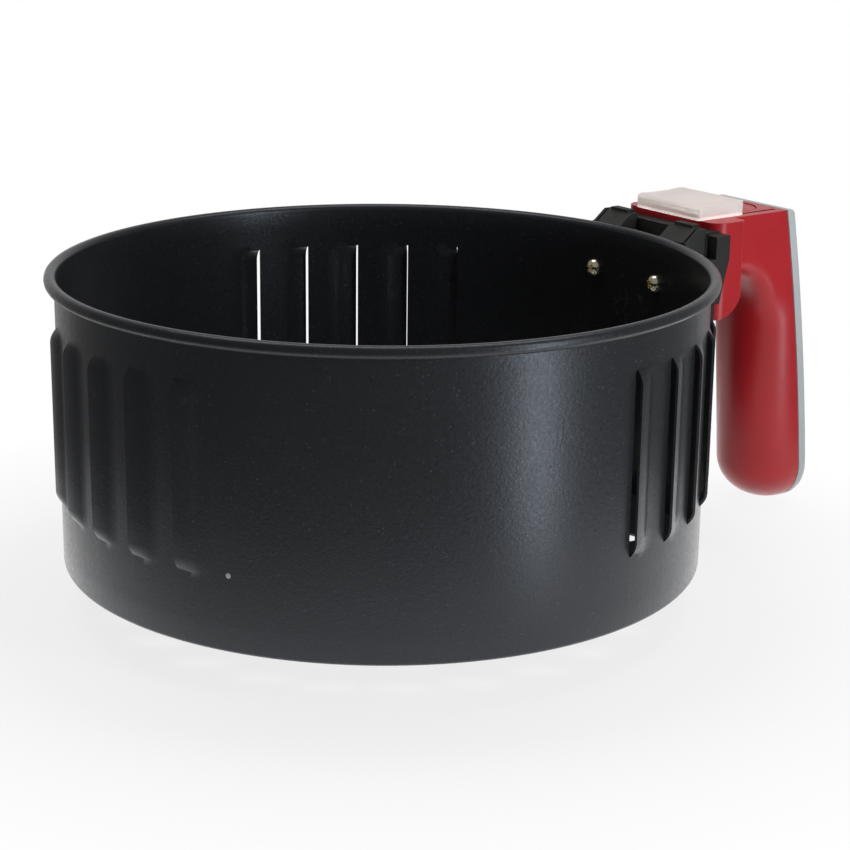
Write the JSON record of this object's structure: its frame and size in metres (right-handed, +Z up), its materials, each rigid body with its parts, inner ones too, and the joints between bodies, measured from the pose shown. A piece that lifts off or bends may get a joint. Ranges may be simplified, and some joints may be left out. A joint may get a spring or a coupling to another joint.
{
  "type": "air fryer basket",
  "caption": "Round steel air fryer basket with louvred walls, perforated base, curled rim and a side handle with sliding guard, release button and latch.",
  "frame": {"origin": "centre of the basket's base, on the face it rests on", "axes": "+Z up along the basket's axis, +X from the basket's axis to the handle, +Y to the left of the handle seen from the basket"},
  "size_m": [0.2967, 0.22, 0.1213],
  "materials": {
    "nonstick_steel": "satin dark non-stick coating with a fine metal fleck",
    "black_plastic": "matt black glass-filled nylon",
    "red_plastic": "satin red",
    "silver_trim": "satin light grey",
    "frosted_plastic": "frosted, lets some light through",
    "plated_screw": "bright nickel with a yellow tint",
    "zinc_steel": "zinc plated",
    "spring_steel": "drawn wire"
  },
  "bodies": {
    "basket": {"basket_wall": "nonstick_steel", "bottom_grid": "nonstick_steel", "bracket": "black_plastic", "bracket_screw_left": "plated_screw", "bracket_screw_right": "plated_screw", "bracket_nut_left": "zinc_steel", "bracket_nut_right": "zinc_steel", "shell_screw_lower_left": "zinc_steel", "shell_screw_lower_right": "zinc_steel", "shell_screw_upper_left": "zinc_steel", "shell_screw_upper_right": "zinc_steel", "handle_shell": "red_plastic", "trim_cover": "silver_trim", "return_spring": "spring_steel", "latch_pin": "zinc_steel"},
    "guard": {"button_guard": "frosted_plastic"},
    "button": {"release_button": "red_plastic"},
    "lever": {"latch_lever": "black_plastic"}
  },
  "joints": [
    {"name": "guard_slide", "type": "slide", "parent": "basket", "child": "guard", "axis": [1, 0, 0], "range_m": [0, 0.018]},
    {"name": "button_press", "type": "slide", "parent": "basket", "child": "button", "axis": [0, 0, -1], "range_m": [0, 0.0035], "stiffness_N_per_m": 900, "deforming": ["return_spring"]},
    {"name": "latch_turn", "type": "hinge", "parent": "basket", "child": "lever", "pos_m": [0.133, 0, 0.0886], "axis": [0, 1, 0], "range_deg": [0, 15]}
  ],
  "couplings": [
    {"joint": "latch_turn", "follows": "button_press", "rad_per_m": 71.429}
  ]
}
